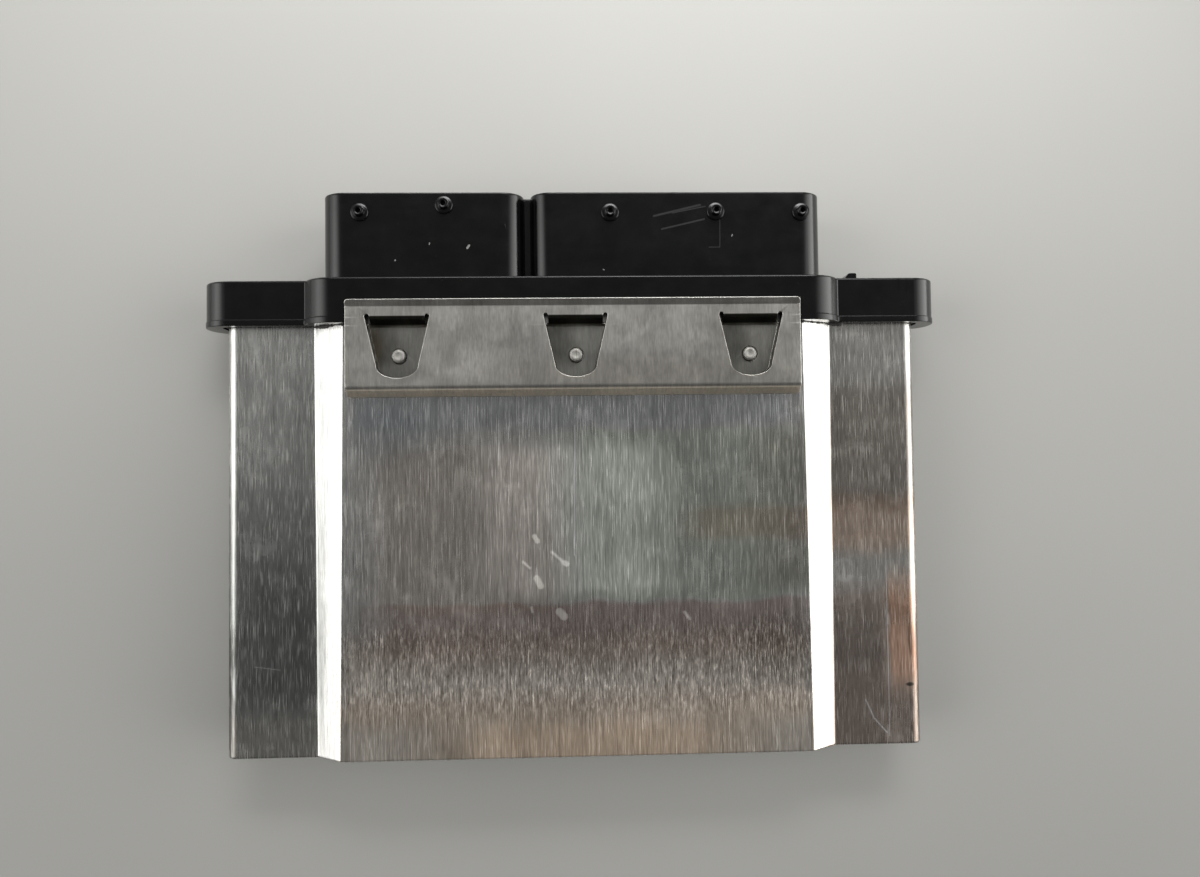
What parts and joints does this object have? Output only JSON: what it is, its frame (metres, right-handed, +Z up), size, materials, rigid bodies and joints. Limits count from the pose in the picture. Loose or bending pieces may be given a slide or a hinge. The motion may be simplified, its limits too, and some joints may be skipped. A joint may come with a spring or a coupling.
{
  "type": "engine control unit",
  "caption": "Flat hat-section aluminium can closed by a black two-socket connector header, with a lanced steel retaining clip across the joint.",
  "frame": {"origin": "under the middle of the unit's bounding box, on the plane of the header's lower face, which it rests on", "axes": "+X across the unit, +Y out of the connector sockets, +Z up through the face that carries the clip and the pegs"},
  "size_m": [0.2044, 0.1528, 0.0274],
  "materials": {
    "drawn_aluminium": "bare extruded aluminium with a fine drawn grain, smudged and lightly scratched",
    "black_moulding": "black glass-filled moulding, satin, with light scuffs",
    "spring_steel": "rolled sheet steel with a warm grey tarnish and bright sheared edges",
    "grey_sealant": "cured dark grey sealant",
    "tinned_pins": "tin-plated copper alloy, satin",
    "green_board": "green lacquered laminate",
    "chip_black": "black moulding compound",
    "capacitor_can": "bare aluminium can",
    "ferrite_grey": "dark grey pressed ferrite",
    "screw_steel": "zinc-plated steel",
    "thermal_paste": "dull blue-grey gap filler"
  },
  "bodies": {
    "root": {"housing_can": "drawn_aluminium", "connector_header": "black_moulding", "header_seal": "grey_sealant", "small_socket_pins": "tinned_pins", "large_socket_pins": "tinned_pins", "power_pins": "tinned_pins", "circuit_board": "green_board", "board_screw_left": "screw_steel", "board_screw_right": "screw_steel", "microcontroller": "chip_black", "injector_driver": "chip_black", "throttle_driver": "chip_black", "supply_chip": "chip_black", "memory_chip": "chip_black", "network_chip": "chip_black", "ignition_switch_1": "chip_black", "ignition_switch_2": "chip_black", "ignition_switch_3": "chip_black", "ignition_switch_4": "chip_black", "buffer_capacitor_1": "capacitor_can", "buffer_capacitor_2": "capacitor_can", "buffer_capacitor_3": "capacitor_can", "boost_coil": "ferrite_grey", "clock_crystal": "capacitor_can", "thermal_pad_left": "thermal_paste", "thermal_pad_right": "thermal_paste", "retaining_clip": "spring_steel"}
  },
  "joints": []
}
